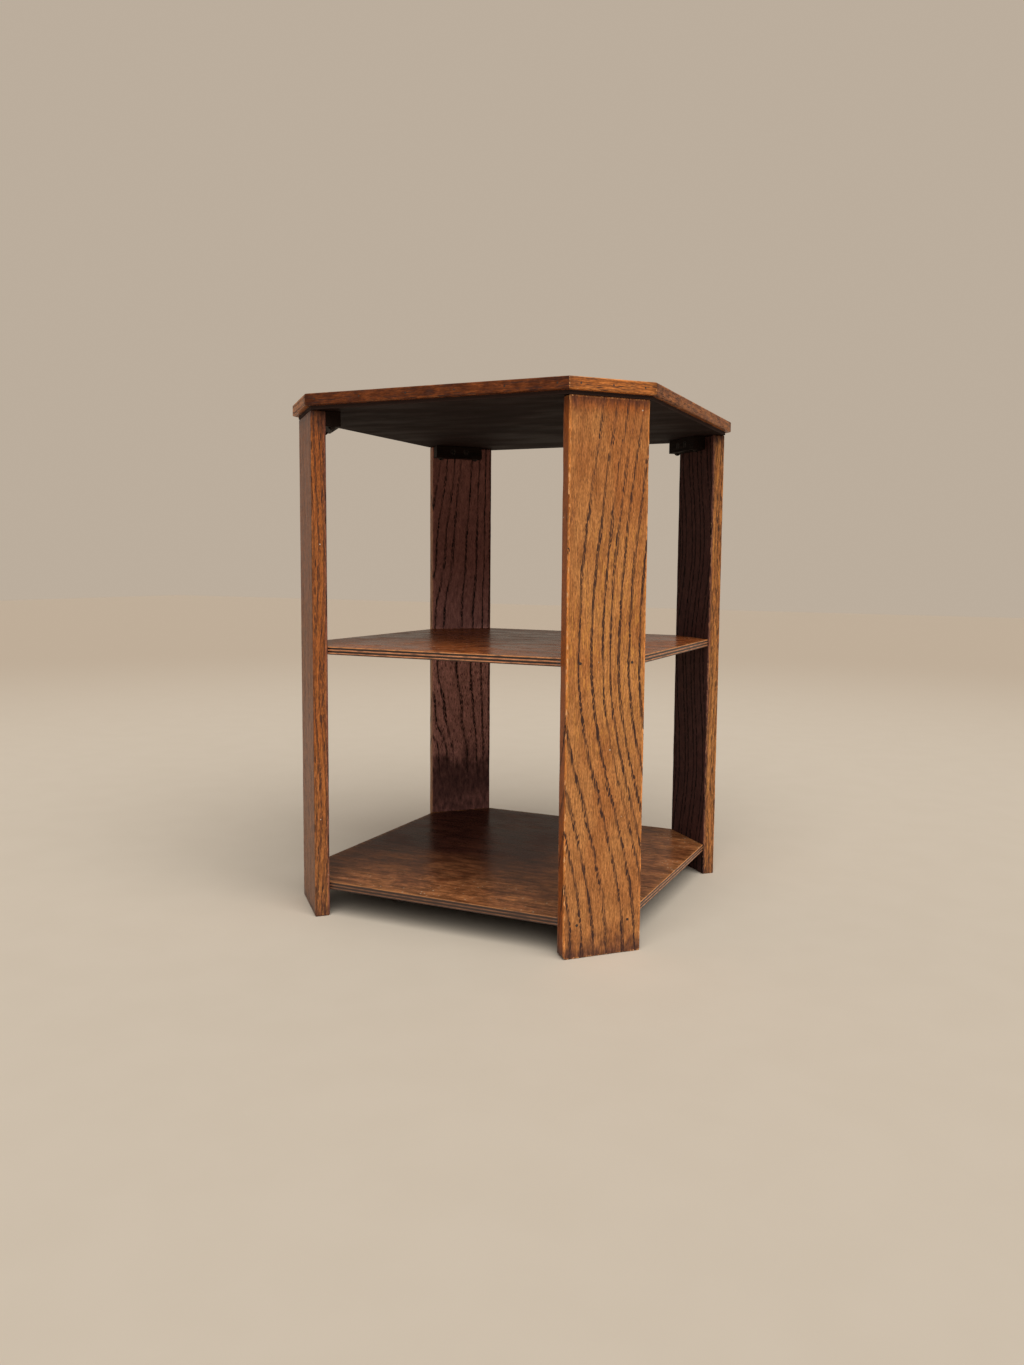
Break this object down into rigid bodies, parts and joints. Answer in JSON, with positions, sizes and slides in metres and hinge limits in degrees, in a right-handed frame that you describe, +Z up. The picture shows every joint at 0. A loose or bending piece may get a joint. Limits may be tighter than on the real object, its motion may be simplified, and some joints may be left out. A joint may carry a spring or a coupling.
{
  "type": "book table",
  "caption": "Square book table with cut corners: plank legs set at 45 degrees in the corners, a lipped top, and open plywood shelves for books between the legs.",
  "frame": {"origin": "on the floor, under the centre of the top", "axes": "+Z up, X and Y square to the long sides of the top, the front is the -Y side"},
  "size_m": [0.425, 0.425, 0.56],
  "materials": {
    "leg_oak": "stained oak under satin varnish",
    "lipping_oak": "stained oak under satin varnish",
    "shelf_ply": "stained plywood under satin varnish",
    "panel_ply": "stained plywood under satin varnish",
    "block_wood": "stained batten, unpolished",
    "steel": "old dull steel",
    "stopping": "dark wax stopping"
  },
  "bodies": {
    "root": {"top_panel": "panel_ply", "front_lipping": "lipping_oak", "right_lipping": "lipping_oak", "back_lipping": "lipping_oak", "left_lipping": "lipping_oak", "front_right_lipping": "lipping_oak", "back_right_lipping": "lipping_oak", "back_left_lipping": "lipping_oak", "front_left_lipping": "lipping_oak", "front_right_leg": "leg_oak", "back_right_leg": "leg_oak", "back_left_leg": "leg_oak", "front_left_leg": "leg_oak", "mid_shelf": "shelf_ply", "low_shelf": "shelf_ply", "front_right_block": "block_wood", "back_right_block": "block_wood", "back_left_block": "block_wood", "front_left_block": "block_wood", "mid_shelf_nails": "steel", "low_shelf_nails": "steel", "nail_stopping": "stopping", "lipping_pins": "steel", "pin_stopping": "stopping", "leg_screws": "steel", "top_screws": "steel"}
  },
  "joints": []
}
